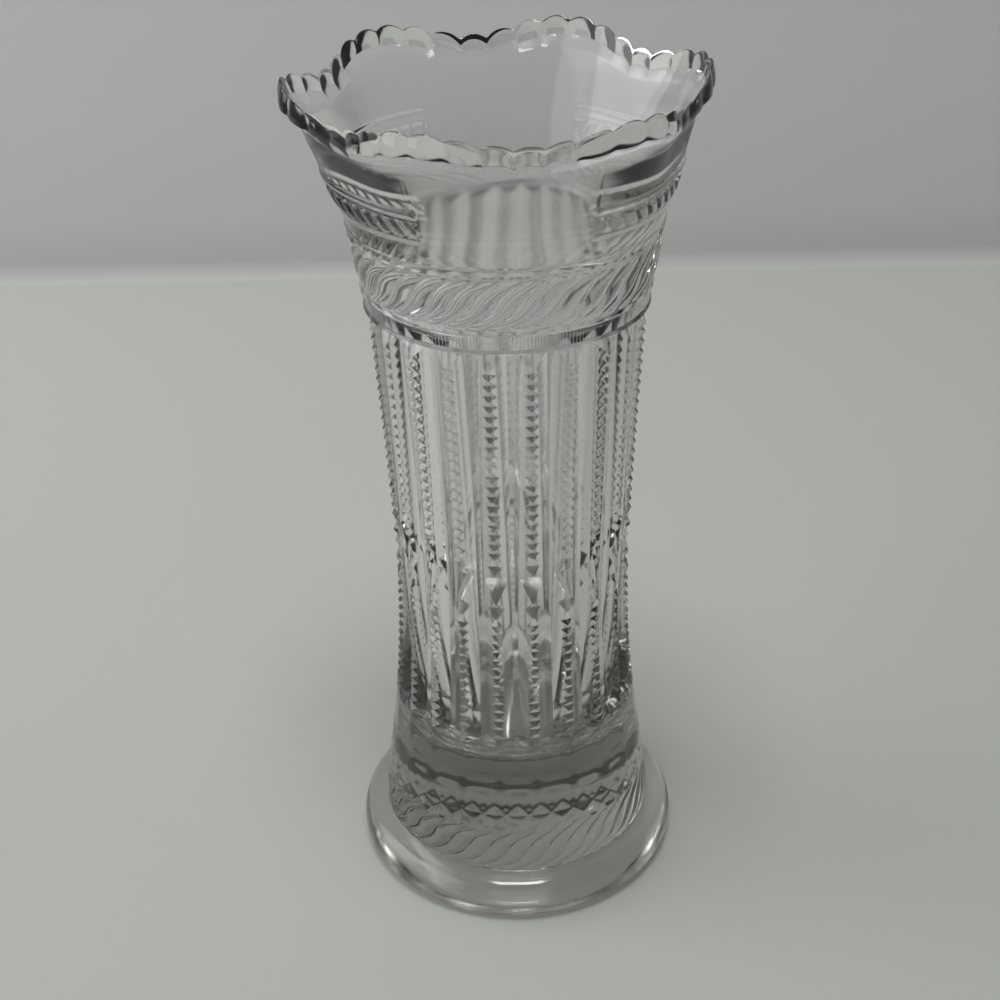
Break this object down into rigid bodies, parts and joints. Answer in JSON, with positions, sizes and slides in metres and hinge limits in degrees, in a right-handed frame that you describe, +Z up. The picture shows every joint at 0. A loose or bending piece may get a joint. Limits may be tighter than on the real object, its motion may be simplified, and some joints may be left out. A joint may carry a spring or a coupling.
{
  "type": "vase",
  "caption": "Tall pressed clear-glass vase with prism columns, rope bands, banded flared collar, scalloped beaded rim and round-edged disc foot.",
  "frame": {"origin": "centre of the foot, in the plane that it stands on", "axes": "+Z up along the vase's axis to the rim; the side that the picture shows faces -Y"},
  "size_m": [0.1154, 0.1114, 0.2498],
  "materials": {
    "clear_glass": "fire-polished, faint warm grey tint"
  },
  "bodies": {
    "root": {"foot_disc": "clear_glass", "base_swirl": "clear_glass", "base_panels": "clear_glass", "column_shaft": "clear_glass", "fine_ring": "clear_glass", "rope_band": "clear_glass", "collar": "clear_glass", "scalloped_rim": "clear_glass"}
  },
  "joints": []
}
